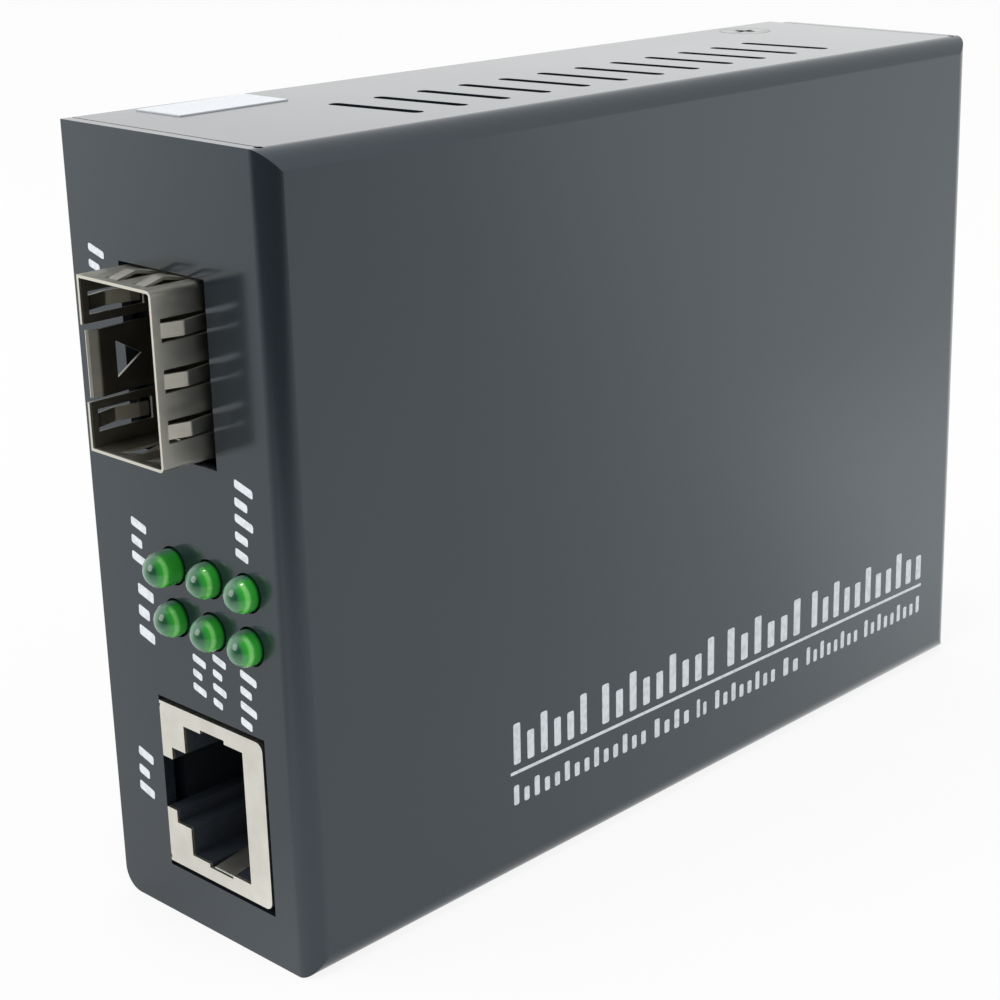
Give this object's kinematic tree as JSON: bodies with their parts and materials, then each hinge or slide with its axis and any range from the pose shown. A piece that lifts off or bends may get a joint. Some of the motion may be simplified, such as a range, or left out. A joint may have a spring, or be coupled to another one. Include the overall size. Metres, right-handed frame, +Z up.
{
  "type": "fibre media converter",
  "caption": "Small folded-steel network converter joining an optical module cage to a shielded copper port, with status lamps on the front and a power inlet at the rear.",
  "frame": {"origin": "middle of the narrow side it stands on, below the centre of the case", "axes": "+X out of the large printed face, -Y out of the front panel with the ports, +Z up to the vented side"},
  "size_m": [0.026, 0.0996, 0.0701],
  "materials": {
    "painted_case": "dark slate-grey satin powder coat",
    "black_screws": "blackened steel",
    "zinc_steel": "bare zinc-plated steel",
    "cage_metal": "thin nickel-plated spring sheet",
    "shield_metal": "pale satin nickel",
    "contact_metal": "gold-flashed spring wire",
    "inlet_metal": "bright nickel",
    "black_plastic": "moulded black plastic",
    "green_lens": "tinted clear epoxy",
    "board_laminate": "green solder mask",
    "chip_black": "moulded chip body",
    "can_metal": "bare can",
    "ceramic_tan": "ceramic chip body",
    "label_white": "white label stock"
  },
  "bodies": {
    "root": {"cover_shell": "painted_case", "base_tray": "painted_case", "cover_screws": "black_screws", "standoffs": "zinc_steel", "board_screws": "zinc_steel", "circuit_board": "board_laminate", "sfp_cage_shell": "cage_metal", "sfp_cage_floor": "cage_metal", "sfp_connector": "black_plastic", "rj45_housing": "black_plastic", "rj45_shield": "shield_metal", "rj45_contacts": "contact_metal", "led_holder": "black_plastic", "dc_jack_body": "black_plastic", "dc_jack_pin": "inlet_metal", "dc_jack_spring": "inlet_metal", "magnetics": "chip_black", "flash_chip": "chip_black", "converter_chip": "chip_black", "regulator": "chip_black", "power_inductor": "chip_black", "crystal": "can_metal", "capacitor_1": "can_metal", "capacitor_2": "can_metal", "chip_parts": "ceramic_tan", "blank_sticker": "label_white", "led_lamp_1": "green_lens", "led_lamp_2": "green_lens", "led_lamp_3": "green_lens", "led_lamp_4": "green_lens", "led_lamp_5": "green_lens", "led_lamp_6": "green_lens"}
  },
  "joints": []
}
